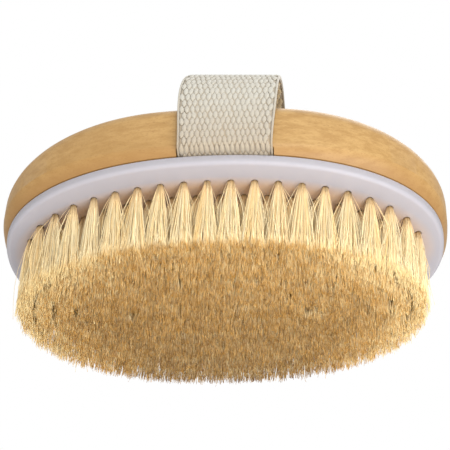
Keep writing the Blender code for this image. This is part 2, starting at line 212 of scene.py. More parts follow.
def place_selected(obj, before, after):
    """Move the selected loop from its old points to its new ones."""
    bm = bmesh.from_edit_mesh(obj.data)
    chosen = [v for v in bm.verts if v.select]
    now = np.array([v.co for v in chosen])
    nearest = ((now[:, None, :] - before[None, :, :]) ** 2).sum(axis=2).argmin(axis=1)
    for vertex, index in zip(chosen, nearest):
        vertex.co = after[index]
    bmesh.update_edit_mesh(obj.data)


def stack_loops(name, loops):
    """A closed body drawn up from a circle, one extruded loop after another."""
    bpy.ops.object.select_all(action="DESELECT")
    bpy.ops.mesh.primitive_circle_add(vertices=len(loops[0]), radius=1.0)
    obj = bpy.context.object
    obj.name = obj.data.name = name
    points = np.array([v.co for v in obj.data.vertices])
    turn = np.argsort(np.arctan2(points[:, 1], points[:, 0]) % math.tau)
    for place, vertex in zip(loops[0], turn):
        obj.data.vertices[vertex].co = place
    bpy.ops.object.mode_set(mode="EDIT")
    bpy.ops.mesh.select_all(action="SELECT")
    bpy.ops.mesh.edge_face_add()
    for before, after in zip(loops, loops[1:]):
        bpy.ops.mesh.extrude_region_move()
        place_selected(obj, before, after)
    bpy.ops.mesh.select_all(action="SELECT")
    bpy.ops.mesh.normals_make_consistent(inside=False)
    bpy.ops.object.mode_set(mode="OBJECT")
    return obj


def select_only(*objects):
    """Select these objects and make the first one active."""
    bpy.ops.object.select_all(action="DESELECT")
    for obj in objects:
        obj.select_set(True)
    bpy.context.view_layer.objects.active = objects[0]


def cut_with(obj, cutter):
    """Cut one body out of another and remove the tool."""
    select_only(obj)
    modifier = obj.modifiers.new("Cut", "BOOLEAN")
    modifier.operation = "DIFFERENCE"
    modifier.solver = "EXACT"
    modifier.object = cutter
    bpy.ops.object.modifier_apply(modifier=modifier.name)
    bpy.data.objects.remove(cutter, do_unlink=True)


def box_body(low, high):
    """A block between two corners."""
    bpy.ops.object.select_all(action="DESELECT")
    bpy.ops.mesh.primitive_cube_add(size=1.0)
    obj = bpy.context.object
    middle = (Vector(low) + Vector(high)) / 2
    size = Vector(high) - Vector(low)
    for vertex in obj.data.vertices:
        vertex.co = middle + Vector(a * b for a, b in zip(vertex.co, size))
    return obj


def rod(sides, cuts):
    """An upright prism of unit length and radius, its sides cut across at even steps."""
    bpy.ops.object.select_all(action="DESELECT")
    bpy.ops.mesh.primitive_cylinder_add(vertices=sides, radius=1.0, depth=1.0)
    obj = bpy.context.object
    bpy.ops.object.mode_set(mode="EDIT")
    bm = bmesh.from_edit_mesh(obj.data)
    for part in (bm.faces, bm.edges, bm.verts):
        for item in part:
            item.select = False
    for edge in bm.edges:
        low, high = sorted(v.co.z for v in edge.verts)
        edge.select_set(high - low > 0.5)
    bmesh.update_edit_mesh(obj.data)
    bpy.ops.mesh.subdivide(number_cuts=cuts)
    bpy.ops.object.mode_set(mode="OBJECT")
    return obj


def shade_by_angle(obj, degrees):
    """Shade smooth, with creases where the faces turn by more than an angle."""
    select_only(obj)
    bpy.ops.object.shade_smooth_by_angle(angle=math.radians(degrees))


def copies(name, template, points, tints=None):
    """One mesh of many copies of a template, with a tint for every point."""
    count, size = points.shape[:2]
    loops = np.array([loop.vertex_index for loop in template.loops])
    totals = np.array([face.loop_total for face in template.polygons])
    corners = (loops[None, :] + size * np.arange(count)[:, None]).ravel()
    totals = np.tile(totals, count)
    starts = np.concatenate([[0], np.cumsum(totals)[:-1]])
    mesh = bpy.data.meshes.new(name)
    mesh.vertices.add(count * size)
    mesh.vertices.foreach_set("co", points.astype(np.float32).ravel())
    mesh.loops.add(len(corners))
    mesh.loops.foreach_set("vertex_index", corners.astype(np.int32))
    mesh.polygons.add(len(totals))
    mesh.polygons.foreach_set("loop_start", starts.astype(np.int32))
    mesh.update(calc_edges=True)
    mesh.shade_smooth()
    if tints is not None:
        layer = mesh.color_attributes.new("tint", "FLOAT_COLOR", "POINT")
        layer.data.foreach_set("color", tints.astype(np.float32).ravel())
    obj = bpy.data.objects.new(name, mesh)
    bpy.context.scene.collection.objects.link(obj)
    return obj


def finished(obj, material, slot_name, *nodes):
    """Give a piece its finish and tie it to the working model."""
    obj.data.materials.clear()
    obj.data.materials.append(material)
    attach(obj, BODY)
    if nodes:
        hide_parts(*nodes)


# ---------------------------------------------------------------- where the tufts stand
def stations(half, power, pitch, start):
    """Evenly spaced points and tangents round a ring, an even number of them."""
    angle = np.linspace(-math.pi / 2, 1.5 * math.pi, RING_SAMPLES)
    x, y = superellipse_at(half, power, angle).T
    steps = np.hypot(np.diff(x), np.diff(y))
    reach = np.concatenate([[0.0], np.cumsum(steps)])
    count = 2 * round(reach[-1] / pitch / 2)
    target = (start + reach[-1] * np.arange(count) / count) % reach[-1]
    point = np.stack([np.interp(target, reach, x), np.interp(target, reach, y)], axis=1)
    nudge = pitch / 50
    ahead = (target + nudge) % reach[-1]
    later = np.stack([np.interp(ahead, reach, x), np.interp(ahead, reach, y)], axis=1)
    tangent = later - point
    tangent /= np.linalg.norm(tangent, axis=1, keepdims=True)
    return point, tangent


def ring_half(tufts, index):
    """Half the length and half the width of a ring, the outer one first."""
    outer = PLATE_HALF - Vector((tufts.inset_long, tufts.inset_wide))
    return outer - Vector((outer.x * tufts.ring_step, outer.y / RING_COUNT)) * index


def ring_stations(tufts, index):
    start = tufts.start - tufts.pitch / 2 * (index % 2)
    return stations(ring_half(tufts, index), tufts.power, tufts.pitch, start)


def row_stations(tufts):
    """The straight middle row, as long as its draw wire, and how its tufts thin to the ends."""
    low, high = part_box("draw_wire_middle")
    side = round((high.x - low.x) / 2 / tufts.pitch)
    x = tufts.pitch * np.arange(-side, side + 1)
    point = np.stack([x, np.zeros_like(x)], axis=1)
    reach = ring_half(tufts, RING_COUNT - 1).x * ROW_REACH
    return point, np.tile([1.0, 0.0], (len(x), 1)), 1 - (np.abs(x) / reach) ** ROW_TAPER


# ---------------------------------------------------------------- materials
def principled(name, values):
    """A new material, with plain values set on its shader."""
    material = bpy.data.materials.new(name)
    material.use_nodes = True
    tree = material.node_tree
    shader = tree.nodes["Principled BSDF"]
    for key, value in values.items():
        shader.inputs[key].default_value = value
    return material, tree, shader


def add_node(tree, kind, **values):
    node = tree.nodes.new(kind)
    for key, value in values.items():
        setattr(node, key, value)
    return node


def mix_colours(tree, factor, first, second, blend="MIX"):
    """A colour mix; the factor is a socket, and each colour is a socket or a constant."""
    node = add_node(tree, "ShaderNodeMix", data_type="RGBA", blend_type=blend)
    tree.links.new(factor, node.inputs[0])
    for slot, value in ((node.inputs[6], first), (node.inputs[7], second)):
        if isinstance(value, bpy.types.NodeSocket):
            tree.links.new(value, slot)
        else:
            slot.default_value = (*value, 1.0)
    return node.outputs[2]


def spread(tree, value, low, high, out_low=0.0, out_high=1.0):
    """Stretch a value from one range to another, held at both ends."""
    node = add_node(tree, "ShaderNodeMapRange")
    tree.links.new(value, node.inputs["Value"])
    ends = {"From Min": low, "From Max": high, "To Min": out_low, "To Max": out_high}
    for key, end in ends.items():
        node.inputs[key].default_value = end
    return node.outputs["Result"]


def bump(tree, height, distance, strength, shader):
    """Feed a shader's normal with relief from a value."""
    node = add_node(tree, "ShaderNodeBump")
    node.inputs["Distance"].default_value = distance
    node.inputs["Strength"].default_value = strength
    tree.links.new(height, node.inputs["Height"])
    tree.links.new(node.outputs["Normal"], shader.inputs["Normal"])


def mottle_group():
    """Cloudy and fine variation in object space, stretched along one axis."""
    existing = bpy.data.node_groups.get("Mottle")
    if existing:
        return existing
    group = bpy.data.node_groups.new("Mottle", "ShaderNodeTree")
    face = group.interface
    face.new_socket("Scale", in_out="INPUT", socket_type="NodeSocketFloat")
    face.new_socket("Stretch", in_out="INPUT", socket_type="NodeSocketVector")
    for output in ("Cloud", "Grit"):
        face.new_socket(output, in_out="OUTPUT", socket_type="NodeSocketFloat")
    source = add_node(group, "NodeGroupInput")
    result = add_node(group, "NodeGroupOutput")
    place = add_node(group, "ShaderNodeTexCoord")
    mapping = add_node(group, "ShaderNodeMapping")
    group.links.new(place.outputs["Object"], mapping.inputs["Vector"])
    group.links.new(source.outputs["Stretch"], mapping.inputs["Scale"])
    for output, factor, detail in (("Cloud", 1.0, 3.0), ("Grit", 7.0, 5.0)):
        scale = add_node(group, "ShaderNodeMath", operation="MULTIPLY")
        scale.inputs[1].default_value = factor
        group.links.new(source.outputs["Scale"], scale.inputs[0])
        noise = add_node(group, "ShaderNodeTexNoise")
        noise.inputs["Detail"].default_value = detail
        noise.inputs["Roughness"].default_value = 0.6
        group.links.new(mapping.outputs["Vector"], noise.inputs["Vector"])
        group.links.new(scale.outputs[0], noise.inputs["Scale"])
        group.links.new(noise.outputs["Fac"], result.inputs[output])
    return group


def mottle(tree, scale, stretch=(1.0, 1.0, 1.0)):
    """The mottle group placed in a material."""
    node = add_node(tree, "ShaderNodeGroup")
    node.node_tree = mottle_group()
    node.inputs["Scale"].default_value = scale
    node.inputs["Stretch"].default_value = stretch
    return node


def tint_channels(tree):
    """The four values that the copies carry on their points."""
    attribute = add_node(tree, "ShaderNodeAttribute", attribute_name="tint")
    split = add_node(tree, "ShaderNodeSeparateColor")
    tree.links.new(attribute.outputs["Color"], split.inputs["Color"])
    return *(split.outputs[name] for name in ("Red", "Green", "Blue")), attribute.outputs["Alpha"]


def height_of(tree):
    """Height above the floor, as a value in a material."""
    place = add_node(tree, "ShaderNodeTexCoord")
    split = add_node(tree, "ShaderNodeSeparateXYZ")
    tree.links.new(place.outputs["Object"], split.inputs["Vector"])
    return split.outputs["Z"]


def wood_material(back):
    """Oiled wood with streaks and pores along X, darker and browner towards its lower edge, where shade
    is painted.
    """
    values = {"Specular IOR Level": 0.4, "Coat Weight": 0.05, "Coat Roughness": 0.30}
    material, tree, shader = principled("oiled_wood", values)
    broad = mottle(tree, 34.0, (0.28, 1.0, 1.0))
    fine = mottle(tree, 560.0, (0.30, 1.0, 1.0))
    ground = mix_colours(tree, spread(tree, broad.outputs["Cloud"], 0.25, 0.70), back.honey, back.pale)
    streak = spread(tree, fine.outputs["Cloud"], 0.42, 0.62, 0.0, 0.8)
    streaked = mix_colours(tree, streak, ground, back.honey)
    pores = spread(tree, fine.outputs["Grit"], 0.53, 0.66, 0.0, 0.5)
    coloured = mix_colours(tree, pores, streaked, back.fleck)
    # painted shade: the wood turns browner towards its lower edge, over the chamfer
    low = spread(tree, height_of(tree), WOOD_LOW.z + back.chamfer * 1.15, WOOD_LOW.z, 0.0, 0.75)
    edge_shaded = mix_colours(tree, low, coloured, back.edge)
    tree.links.new(edge_shaded, shader.inputs["Base Color"])
    gloss = spread(tree, broad.outputs["Grit"], 0.3, 0.7, 0.42, 0.56)
    tree.links.new(gloss, shader.inputs["Roughness"])
    bump(tree, fine.outputs["Grit"], 0.00004, 0.4, shader)
    return material


def plate_material(plate, tufts):
    """Milky plastic, warmer inside the outer ring of tufts, where the folds show through with painted
    shade and warm bounce, and darker at its side with painted shade.
    """
    values = {
        "Roughness": 0.5,
        "Specular IOR Level": 0.35,
        "Subsurface Weight": 0.35,
        "Subsurface Radius": (1.0, 0.9, 0.8),
        "Subsurface Scale": 0.003,
    }
    material, tree, shader = principled("milky_plastic", values)
    place = add_node(tree, "ShaderNodeTexCoord")
    scale = add_node(tree, "ShaderNodeMapping")
    half = ring_half(tufts, 0)
    scale.inputs["Scale"].default_value = (1 / half.x, 1 / half.y, 0.0)
    tree.links.new(place.outputs["Object"], scale.inputs["Vector"])
    reach = add_node(tree, "ShaderNodeVectorMath", operation="LENGTH")
    tree.links.new(scale.outputs["Vector"], reach.inputs[0])
    # inside the outer ring: folds seen through the plastic, with painted shade and warm bounce between
    # the tufts
    inside = spread(tree, reach.outputs["Value"], 1.08, 0.95)
    haze = mottle(tree, 60.0)
    cloudy = mix_colours(
        tree, spread(tree, haze.outputs["Cloud"], 0.3, 0.7, 0.0, 0.25), plate.milky, plate.cloud
    )
    # painted shade: the plate darkens up its side, above the rounded rim
    wall = spread(tree, height_of(tree), PLATE_LOW.z + 0.00005, PLATE_LOW.z + 0.0009, 0.0, 0.8)
    with_side_shade = mix_colours(tree, wall, cloudy, plate.shaded_side)
    warm = mix_colours(tree, inside, with_side_shade, plate.folds_and_shade)
    tree.links.new(warm, shader.inputs["Base Color"])
    bump(tree, haze.outputs["Cloud"], 0.0002, 0.15, shader)
    return material


def bristle_material(tufts):
    """Point tints hold each bristle's tone, the way along it, its darkness and its tip's paleness."""
    values = {"Roughness": 0.45, "Specular IOR Level": 0.22}
    material, tree, shader = principled("natural_bristle", values)
    tone, along, darkness, paleness = tint_channels(tree)
    upper = mix_colours(tree, tone, tufts.cream, tufts.straw)
    # painted warm bounce near the roots, where shade falls between the tufts
    shaft = mix_colours(tree, spread(tree, along, 0.0, 0.35), tufts.fold, upper)
    # umber to tan: the cut ends' own colour with painted shade between the bristles
    cut = mix_colours(tree, spread(tree, paleness, 0.0, 0.5), tufts.umber, tufts.tan)
    tip = mix_colours(tree, spread(tree, paleness, 0.5, 1.0), cut, tufts.pale_tip)
    tipped = mix_colours(tree, spread(tree, along, 0.91, 0.99), shaft, tip)
    grain = mottle(tree, 900.0, (1.0, 1.0, 0.1))
    flecked = mix_colours(
        tree, spread(tree, grain.outputs["Cloud"], 0.45, 0.75, 0.0, 0.35), tipped, tufts.straw
    )
    final = mix_colours(tree, darkness, flecked, tufts.dark)
    tree.links.new(final, shader.inputs["Base Color"])
    return material


def webbing_material(strap):
    """Point tints hold each yarn's tone, its relief and whether it is on the outer face."""
    values = {"Roughness": 0.92, "Sheen Weight": 0.35, "Sheen Roughness": 0.5}
    material, tree, shader = principled("cotton_webbing", values)
    tone, _, relief, outside = tint_channels(tree)
    yarn = mottle(tree, 900.0)
    lint = mottle(tree, 140.0)
    ground = mix_colours(tree, relief, strap.shade, strap.cotton)
    # painted shade and warm bounce on the inner face
    inner_face_shaded = mix_colours(tree, outside, strap.inner, ground)
    toned = mix_colours(tree, spread(tree, tone, 0.0, 1.0, 0.0, 0.28), inner_face_shaded, strap.aged)
    # painted shade: the cotton darkens and warms towards the plate
    foot_shade = spread(tree, height_of(tree), WOOD_HIGH.z, STRAP_LOW.z, 0.0, 1.0)
    with_foot_shade = mix_colours(tree, foot_shade, toned, strap.foot_shade, "MULTIPLY")
    specks = spread(tree, lint.outputs["Grit"], 0.70, 0.76, 0.0, 0.7)
    final = mix_colours(tree, specks, with_foot_shade, strap.speck)
    tree.links.new(final, shader.inputs["Base Color"])
    bump(tree, yarn.outputs["Grit"], 0.0001, 0.6, shader)
    return material


STEEL_DULL = (0.50, 0.50, 0.51)
STEEL_BRIGHT = (0.66, 0.66, 0.67)


def steel_material():
    """Bright drawn wire with fine marks."""
    material, tree, shader = principled("drawn_steel", {"Metallic": 1.0})
    marks = mottle(tree, 500.0, (0.2, 1.0, 1.0))
    coloured = mix_colours(tree, marks.outputs["Cloud"], STEEL_DULL, STEEL_BRIGHT)
    tree.links.new(coloured, shader.inputs["Base Color"])
    rough = spread(tree, marks.outputs["Grit"], 0.3, 0.7, 0.25, 0.42)
    tree.links.new(rough, shader.inputs["Roughness"])
    return material


def floor_material(stage):
    """A matt floor that lets light and sight through from below."""
    values = {"Base Color": (*stage.floor, 1.0), "Roughness": 0.7}
    material, tree, shader = principled("pale_floor", values)
    under = add_node(tree, "ShaderNodeNewGeometry")
    clear = add_node(tree, "ShaderNodeBsdfTransparent")
    mixed = add_node(tree, "ShaderNodeMixShader")
    output = tree.nodes["Material Output"]
    tree.links.new(under.outputs["Backfacing"], mixed.inputs["Fac"])
    tree.links.new(shader.outputs["BSDF"], mixed.inputs[1])
    tree.links.new(clear.outputs["BSDF"], mixed.inputs[2])
    tree.links.new(mixed.outputs["Shader"], output.inputs["Surface"])
    return material


# ---------------------------------------------------------------- wooden back
UNDERSIDE_STEP = 0.0004  # from the underside's edge to the loop inside it
POCKET_MARGIN = 0.0019  # room for the folds round the outer ring
RECESS_RUNOUT = 0.0011  # room past the strap's tucked end


def top_fall(back, x):
    """How far the top lies under its middle, at a distance along the brush."""
    flat = back.flat / 2
    run = WOOD_HIGH.x - flat
    return back.end_drop * (np.maximum(0.0, np.abs(x) - flat) / run) ** 2


def back_loops(back):
    """Loops from the seat on the plate, over the bulging side, towards the middle of the top."""
    bulge = WOOD_HIGH.x - PLATE_HALF.x
    base, top = WOOD_LOW.z, WOOD_HIGH.z

    def outline(outset, blend):
        power = back.seat_power + (back.power - back.seat_power) * blend
        return superellipse((PLATE_HALF.x + outset, PLATE_HALF.y + outset), power)

    loops = [with_height(outline(-UNDERSIDE_STEP, 0.0), base), with_height(outline(0.0, 0.0), base)]
    for share in (0.3, 0.6, 0.94, 1.0):
        outset = bulge * math.sin(share * math.pi / 2)
        loops.append(with_height(outline(outset, share), base + back.chamfer * share))
    for degrees in (0, 3, 10, 20, 30, 40, 50, 60, 70, 80, 90):
        turn = math.radians(degrees)
        inset = back.shoulder * (1 - math.cos(turn))
        below = back.shoulder * (1 - math.sin(turn))
        path = outline(bulge - inset, 1.0)
        loops.append(with_height(path, top - top_fall(back, path[:, 0]) - below))
    rim = np.array(PLATE_HALF) - back.shoulder
    for part in (0.9, 0.8, 0.7, 0.6, 0.5, 0.4, 0.3):
        path = superellipse(rim * part, back.power)
        loops.append(with_height(path, top - top_fall(back, path[:, 0])))
    return loops


class BRUSH_OT_back(bpy.types.Operator):
    """Turn the domed wooden back, with its pocket and the two strap recesses"""

    bl_idname = "brush.back"
    bl_label = "Wooden Back"

    def execute(self, context):
        back = context.scene.brush_back
        tufts = context.scene.brush_tufts
        obj = stack_loops("wooden_back", back_loops(back))
        half = np.array(ring_half(tufts, 0)) + POCKET_MARGIN
        pocket = superellipse(half, tufts.power, count=96)
        levels = (WOOD_LOW.z - back.pocket, WOOD_LOW.z + back.pocket)
        cut_with(obj, stack_loops("pocket", [with_height(pocket, z) for z in levels]))
        strap = context.scene.brush_strap
        reach = strap.width / 2 + CLEARANCE
        ceiling = WOOD_LOW.z + strap.thickness + CLEARANCE
        for side in (-1, 1):
            inner = side * (PLATE_HALF.y - strap.tuck - RECESS_RUNOUT)
            outer = side * (WOOD_HIGH.y + 2 * CUT_PAST)
            low = (strap.centre - reach, min(inner, outer), WOOD_LOW.z - CUT_PAST)
            high = (strap.centre + reach, max(inner, outer), ceiling)
            cut_with(obj, box_body(low, high))
        shade_by_angle(obj, degrees=28)
        finished(obj, wood_material(back), "wood", "wood_back")
        return {"FINISHED"}


# ---------------------------------------------------------------- bristle plate
BACK_EDGE = 0.0003  # small slope round the plate's back


class BRUSH_OT_plate(bpy.types.Operator):
    """Mould the milky plate and drill its tuft holes"""

    bl_idname = "brush.plate"
    bl_label = "Bristle Plate"

    def execute(self, context):
        plate = context.scene.brush_plate
        tufts = context.scene.brush_tufts
        power = context.scene.brush_back.seat_power
        profile = [(BACK_EDGE, PLATE_HIGH.z), (0.0, PLATE_HIGH.z - BACK_EDGE)]
        for degrees in (0, 15, 30, 45, 60, 75, 90):
            turn = math.radians(degrees)
            inset = plate.rim * (1 - math.cos(turn))
            profile.append((inset, PLATE_LOW.z + plate.rim * (1 - math.sin(turn))))
        loops = []
        for inset, z in profile:
            half = (PLATE_HALF.x - inset, PLATE_HALF.y - inset)
            loops.append(with_height(superellipse(half, power), z))
        obj = stack_loops("milky_plate", loops)
        cut_with(obj, self.hole_tools(plate, tufts))
        shade_by_angle(obj, degrees=30)
        finished(obj, plate_material(plate, tufts), "plate", "bristle_plate")
        return {"FINISHED"}

    def hole_tools(self, plate, tufts):
        """One drill for every tuft, as one cutting body."""
        bpy.ops.object.select_all(action="DESELECT")
        depth = 2 * (PLATE_HIGH.z - PLATE_LOW.z)
        bpy.ops.mesh.primitive_cylinder_add(vertices=12, radius=plate.hole, depth=depth)
        drill = bpy.context.object
        shape = np.array([v.co for v in drill.data.vertices])
        places = [ring_stations(tufts, index)[0] for index in range(RING_COUNT)]
        places.append(row_stations(tufts)[0])
        middle = (PLATE_LOW.z + PLATE_HIGH.z) / 2
        centres = with_height(np.concatenate(places), middle)
        tools = copies("drills", drill.data, shape[None] + centres[:, None])
        bpy.data.objects.remove(drill, do_unlink=True)
        return tools


# ---------------------------------------------------------------- bristles
HELD_LENGTH = 0.0008  # part of a bristle inside the plate
PULL_RANGE = (0.25, 0.85)  # how strongly a bristle leans into its lock
SQUARE_SHARE = 0.55  # the tips fill a rounded square, to meet the next tuft
OUTER_TUCK = 0.72  # the outer ring's tips spread less towards the rim
TIP_SCATTER = 0.00030
STRAY_REACH = 0.0026  # how far astray a tip stands along the ring
STRAY_ACROSS = 0.4  # and across it, as part of that
STRAY_BEND = 4.5  # how much more a stray bristle bends
BEND = 0.00030
CURL = 0.00025
CURL_START = 0.7  # part of the length at which the curl sets in
CURL_RISE = 9
FLARE_POWER = 1.05
GATHER_ENDS = -0.014  # the tips lean towards the middle of the brush
GATHER_FRONT = -0.026
GATHER_REAR = -0.050
END_TRIM_REACH = 0.0575  # way from the middle to where the end trim is full
LONGEST_TRIM = 0.005
GIRTH_RANGE = (0.7, 1.25)
GIRTH_TAPER = 0.35
TONE = 0.30  # 0 is cream, 1 is straw
# inner rings browner: painted shade deeper in the tuft field
TONE_PER_RING = 0.03
TONE_OF_LOCKS = 0.16  # standard deviations
TONE_OF_TUFTS = 0.07
TONE_OF_BRISTLES = 0.24
DARK_SHARE = 0.035  # part of the bristles that are dark
DARK_RANGE = (0.4, 0.9)
PALE = 0.26  # paleness of the tips at the middle
PALE_REARWARD = -8.5  # change per metre: the tips darken towards the rear with painted shade
PALE_ENDS = 0.66
PALE_START = 0.022  # from here to the ends the tips grow paler
PALE_RUN = 0.026
PALE_SCATTER = 0.18
PALE_OF_LOCKS = -0.9
MIDDLE_SEED = 900


def tuft_locks(tufts, rng):
    """Places of the bristles in a unit disc, those that the locks gather on, and each one's lock."""
    count = tufts.per_tuft
    radius = np.sqrt(rng.random(count))
    turn = rng.random(count) * math.tau
    disc = np.stack([radius * np.cos(turn), radius * np.sin(turn)], axis=1)
    locks = disc[:: max(1, count // tufts.locks)]
    lock = ((disc[:, None] - locks[None]) ** 2).sum(axis=2).argmin(axis=1)
    return disc, locks, lock


def tuft_tips(tufts, rng, disc, aims, ring, depth):
    """Where the tips stand, along and across the ring, and which bristles go astray."""
    count = len(disc)
    pull = rng.uniform(*PULL_RANGE, (count, 1))
    leaning = disc * (1 - pull) + aims * pull
    reach = np.hypot(leaning[:, :1], leaning[:, 1:])
    square = leaning / np.maximum(np.abs(leaning).max(axis=1, keepdims=True), 1e-6) * reach
    spread_to = (tufts.spread_along, tufts.spread_across * depth)
    tips = (leaning * (1 - SQUARE_SHARE) + square * SQUARE_SHARE) * spread_to
    if ring == 0:
        tips[:, 1] = np.where(tips[:, 1] < 0, tips[:, 1] * OUTER_TUCK, tips[:, 1])
    tips += rng.normal(0.0, TIP_SCATTER, (count, 2))
    stray = rng.random(count) < tufts.strays
    tips[stray] += rng.normal(0.0, STRAY_REACH, (int(stray.sum()), 2)) * (1.0, STRAY_ACROSS)
    return tips, stray


def tuft_points(tufts, rng, shape, point, tangent, disc, tips, stray):
    """Points of every bristle in a tuft, from inside the plate to its tip."""
    count = len(disc)
    t = (shape[:, 2] + 0.5)[None, :]
    flare = t**FLARE_POWER
    swing = np.sin(math.pi * t)
    kink = np.clip(t - CURL_START, 0, 1) ** 2 * CURL_RISE
    bend = rng.normal(0.0, BEND, (count, 2)) * np.where(stray, STRAY_BEND, 1.0)[:, None]
    curl = rng.normal(0.0, CURL, (count, 2))
    local = []
    for axis in (0, 1):
        path = disc[:, axis, None] * tufts.root * (1 - flare) + tips[:, axis, None] * flare
        local.append(path + bend[:, axis, None] * swing + curl[:, axis, None] * kink)
    gather = (point[0] * GATHER_ENDS, point[1] * (GATHER_REAR if point[1] > 0 else GATHER_FRONT))
    x = point[0] + local[0] * tangent[0] - local[1] * tangent[1] + gather[0] * flare
    y = point[1] + local[0] * tangent[1] + local[1] * tangent[0] + gather[1] * flare
    end_trim = tufts.end_trim * (abs(point[0]) / END_TRIM_REACH) ** 4
    trim = rng.exponential(tufts.ragged, (count, 1)) + end_trim
    top = PLATE_LOW.z + HELD_LENGTH
    z = top + (np.minimum(trim, LONGEST_TRIM) - top) * t
    girth = tufts.thickness * rng.uniform(*GIRTH_RANGE, (count, 1)) * (1.0 - GIRTH_TAPER * t)
    x = x + shape[None, :, 0] * girth
    y = y + shape[None, :, 1] * girth
    return np.stack([x, y, z], axis=2)


def tuft_tints(rng, shape, point, ring, locks, lock):
    """Tone, way along, darkness and paleness of every point of a tuft."""
    count = len(lock)
    tints = np.ones((count, len(shape), 4))
    lock_tone = rng.normal(0.0, TONE_OF_LOCKS, len(locks))[lock][:, None]
    tuft_tone = rng.normal(TONE + TONE_PER_RING * ring, TONE_OF_TUFTS)
    tone = rng.normal(tuft_tone, TONE_OF_BRISTLES, (count, 1)) + lock_tone
    tints[:, :, 0] = np.clip(tone, 0.0, 1.0)
    tints[:, :, 1] = shape[:, 2] + 0.5
    dark = rng.random((count, 1)) < DARK_SHARE
    tints[:, :, 2] = dark * rng.uniform(*DARK_RANGE, (count, 1))
    end = min(1.0, max(0.0, (abs(point[0]) - PALE_START) / PALE_RUN)) * (1.0 - 0.33 * min(ring, 3))
    # the tips darken towards the rear: painted shade
    middle = PALE + PALE_REARWARD * point[1] + PALE_ENDS * end
    pale = rng.normal(middle, PALE_SCATTER, (count, 1)) + PALE_OF_LOCKS * lock_tone
    tints[:, :, 3] = np.clip(pale, 0.0, 1.0)
    return tints


def tuft_bristles(tufts, rng, shape, place, ring):
    """Points and tints of one tuft; its bristles lean together in small locks."""
    point, tangent, depth = place
    disc, locks, lock = tuft_locks(tufts, rng)
    tips, stray = tuft_tips(tufts, rng, disc, locks[lock], ring, depth)
    points = tuft_points(tufts, rng, shape, point, tangent, disc, tips, stray)
    return points, tuft_tints(rng, shape, point, ring, locks, lock)


class BRUSH_OT_tufts(bpy.types.Operator):
    """Draw natural bristles into every hole, ring by ring"""

    bl_idname = "brush.tufts"
    bl_label = "Bristle Tufts"

    def execute(self, context):
        tufts = context.scene.brush_tufts
        material = bristle_material(tufts)
        bristle = rod(sides=3, cuts=4)
        for ring in range(RING_COUNT):
            point, tangent = ring_stations(tufts, ring)
            depth = np.ones(len(point))
            for half, chosen in (("front", point[:, 1] < 0), ("rear", point[:, 1] >= 0)):
                places = (point[chosen], tangent[chosen], depth[chosen])
                seed = 100 * (ring + 1) + (half == "rear")
                obj = self.piece(f"bristles_{ring + 1}_{half}", tufts, bristle, places, ring, seed)
                finished(obj, material, "bristle", f"tuft_ring_{ring + 1}")
        places = row_stations(tufts)
        obj = self.piece("bristles_middle", tufts, bristle, places, RING_COUNT, MIDDLE_SEED)
        finished(obj, material, "bristle", "tuft_row_middle")
        bpy.data.objects.remove(bristle, do_unlink=True)
        return {"FINISHED"}

    def piece(self, name, tufts, bristle, places, ring, seed):
        """One piece of bristles; its places are the tufts' points, tangents and tip depths."""
        rng = np.random.default_rng(seed)
        shape = np.array([v.co for v in bristle.data.vertices])
        made = [tuft_bristles(tufts, rng, shape, place, ring) for place in zip(*places)]
        points, tints = (np.concatenate(part) for part in zip(*made))
        return copies(name, bristle.data, points, tints)


# ---------------------------------------------------------------- hand strap
LEG_SHORT = 0.0019  # the straight legs end this far under the wood's top
LINE_SAMPLES = 601
LEAN_POWER = 3.5
PINCH_POWER = 8
BAND_POWER = 0.4  # flattens a round tube to a ribbon with round edges
CORE_HALF = 0.26  # half thicknesses, as parts of the strap's thickness
RIB_HALF = 0.34
CORE_RELIEF = 0.1  # 0 is the painted shade between the floats and 1 the painted light on their crests
# the selvedge ribs sit half in painted shade
RIB_RELIEF = 0.55
FLOAT_ACROSS = 0.57  # half sizes of a float, as parts of its column and its row
FLOAT_ALONG = 0.69
FLOAT_POINT = 0.60  # how much a float narrows to its ends
FLOAT_SINK = 0.42  # the floats' middle, as part of half the thickness
FLOAT_SIZES = (0.92, 1.08)
FLOAT_SEED = 7


def strap_line(strap):
    """Middle line of the webbing in the YZ plane, evenly spaced, and its left-hand normals."""
    half = strap.thickness / 2
    out = STRAP_HIGH.y - half
    low = STRAP_LOW.z + half
    fold = strap.fold + half
    leg_top = WOOD_HIGH.z - LEG_SHORT
    points = [(PLATE_HALF.y - strap.tuck, low)]
    for degrees in range(-90, 1, 10):
        turn = math.radians(degrees)
        points.append((out - fold + fold * math.cos(turn), low + fold + fold * math.sin(turn)))
    rise = STRAP_HIGH.z - half - leg_top
    angle = np.linspace(0.0, math.pi / 2, 60)
    arch_y = out * np.cos(angle) ** (2 / strap.power)
    arch_z = leg_top + rise * np.sin(angle) ** (2 / strap.power)
    points += list(zip(arch_y, arch_z))
    right = np.array(points)
    left = right[::-1].copy()[1:]
    left[:, 0] *= -1
    whole = np.concatenate([right, left])[::-1]
    steps = np.hypot(*np.diff(whole, axis=0).T)
    reach = np.concatenate([[0.0], np.cumsum(steps)])
    even = np.linspace(0.0, reach[-1], LINE_SAMPLES)
    line = np.stack([np.interp(even, reach, whole[:, 0]), np.interp(even, reach, whole[:, 1])], axis=1)
    ahead = np.gradient(line, axis=0)
    ahead /= np.linalg.norm(ahead, axis=1, keepdims=True)
    return even, line, np.stack([-ahead[:, 1], ahead[:, 0]], axis=1)


